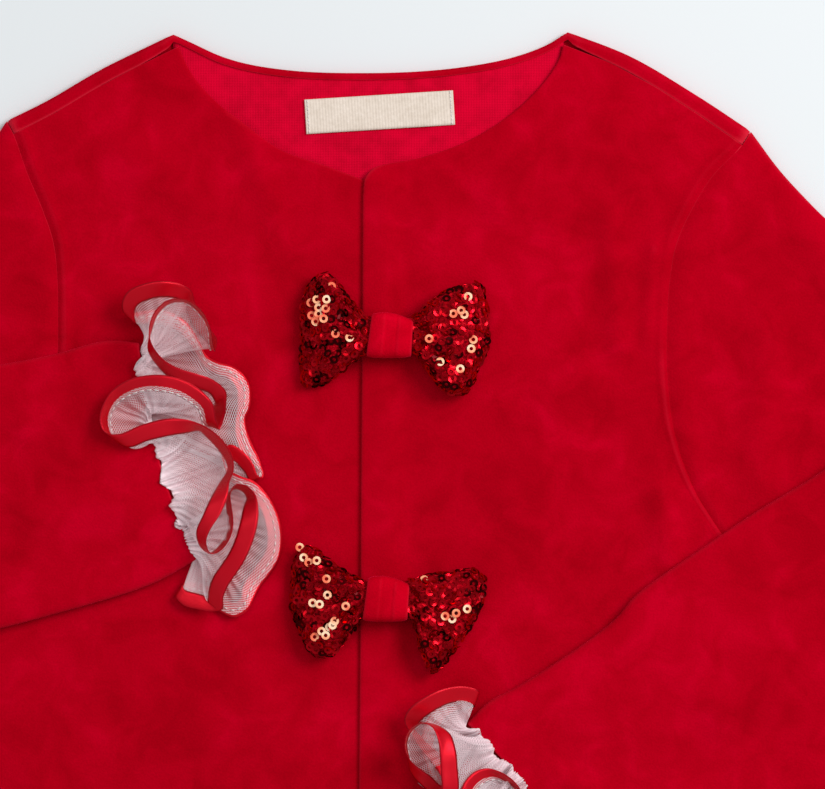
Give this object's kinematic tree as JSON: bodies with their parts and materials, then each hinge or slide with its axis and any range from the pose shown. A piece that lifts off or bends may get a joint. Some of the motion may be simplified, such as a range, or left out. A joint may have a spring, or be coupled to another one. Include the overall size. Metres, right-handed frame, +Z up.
{
  "type": "elf costume jacket",
  "caption": "Child's red velour elf jacket laid flat, sleeves folded in over the front, with ribbon-edged tulle ruffles at the cuffs and sequin bows on the opening.",
  "frame": {"origin": "middle of the laid-out jacket's extent, on the surface that it lies on", "axes": "+Z up from the surface, +Y towards the neck, +X towards the wearer's left"},
  "size_m": [0.4602, 0.401, 0.0279],
  "materials": {
    "velour": "soft red velour with a short nap",
    "lining": "plain woven cotton",
    "label": "bare ribbed woven tape",
    "tulle": "fine white net",
    "ribbon": "red satin",
    "sequin": "red metallised ring sequins"
  },
  "bodies": {
    "root": {"back": "velour", "back_lining": "lining", "neck_label": "label", "front_left": "velour", "front_right": "velour", "sleeve_left": "velour", "sleeve_right": "velour", "ruffle_left": "tulle", "ruffle_right": "tulle", "ribbon_left": "ribbon", "ribbon_right": "ribbon", "bow_upper_wings": "sequin", "bow_upper_knot": "velour", "bow_lower_wings": "sequin", "bow_lower_knot": "velour"}
  },
  "joints": []
}
